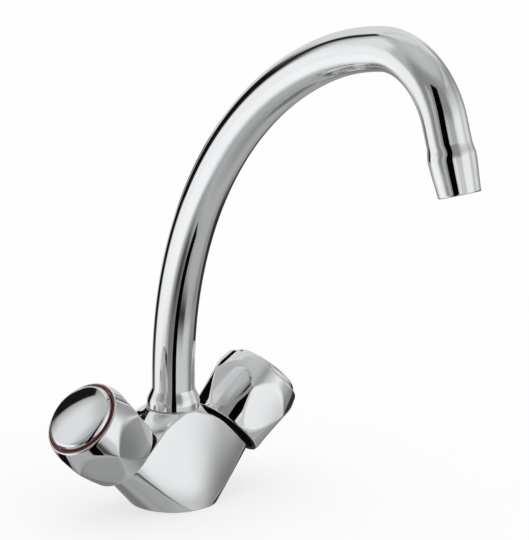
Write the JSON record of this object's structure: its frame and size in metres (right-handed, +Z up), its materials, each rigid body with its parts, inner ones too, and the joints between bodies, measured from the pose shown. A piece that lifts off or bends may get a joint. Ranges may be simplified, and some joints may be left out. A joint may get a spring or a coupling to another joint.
{
  "type": "twin knob mixer tap",
  "caption": "Chrome deck-mounted kitchen mixer tap with a tall swivelling swan-neck spout and a faceted turning knob on each side of a flared body.",
  "frame": {"origin": "centre of the round base, on the plane of the deck it stands on", "axes": "+Z up; the spout points towards -Y at rest; the hot knob is on -X and the cold knob on +X"},
  "size_m": [0.1478, 0.2488, 0.2815],
  "materials": {
    "chrome": "polished",
    "brass": "machined",
    "rubber": "matt",
    "ceramic": "polished",
    "white_plastic": "matt",
    "hot_red": "satin",
    "cold_blue": "satin",
    "steel": "brushed"
  },
  "bodies": {
    "root": {"body": "chrome", "base_seal": "rubber", "spout_screw": "chrome", "hot_headwork": "brass", "hot_headwork_oring": "rubber", "hot_seat_seal": "rubber", "hot_fixed_disc": "ceramic", "cold_headwork": "brass", "cold_headwork_oring": "rubber", "cold_seat_seal": "rubber", "cold_fixed_disc": "ceramic"},
    "spout": {"spout_tube": "chrome", "spout_collar": "chrome", "spout_spigot": "brass", "spigot_oring_upper": "rubber", "spigot_oring_lower": "rubber", "slip_ring": "white_plastic", "nozzle": "chrome", "aerator_cage": "white_plastic", "aerator_screen": "steel", "aerator_washer": "rubber"},
    "hot_handle": {"hot_knob": "chrome", "hot_index_ring": "hot_red", "hot_index_cap": "chrome", "hot_knob_screw": "steel", "hot_spindle": "brass", "hot_moving_disc": "ceramic", "hot_spindle_oring": "rubber"},
    "cold_handle": {"cold_knob": "chrome", "cold_index_ring": "cold_blue", "cold_index_cap": "chrome", "cold_knob_screw": "steel", "cold_spindle": "brass", "cold_moving_disc": "ceramic", "cold_spindle_oring": "rubber"}
  },
  "joints": [
    {"name": "spout_swivel", "type": "hinge", "parent": "root", "child": "spout", "pos_m": [0, 0, 0.05], "axis": [0, 0, 1], "continuous": true},
    {"name": "hot_turn", "type": "hinge", "parent": "root", "child": "hot_handle", "pos_m": [0, 0, 0], "axis": [-0.7314, 0, 0.682], "range_deg": [0, 90]},
    {"name": "cold_turn", "type": "hinge", "parent": "root", "child": "cold_handle", "pos_m": [0, 0, 0], "axis": [0.7314, 0, 0.682], "range_deg": [-90, 0]}
  ]
}
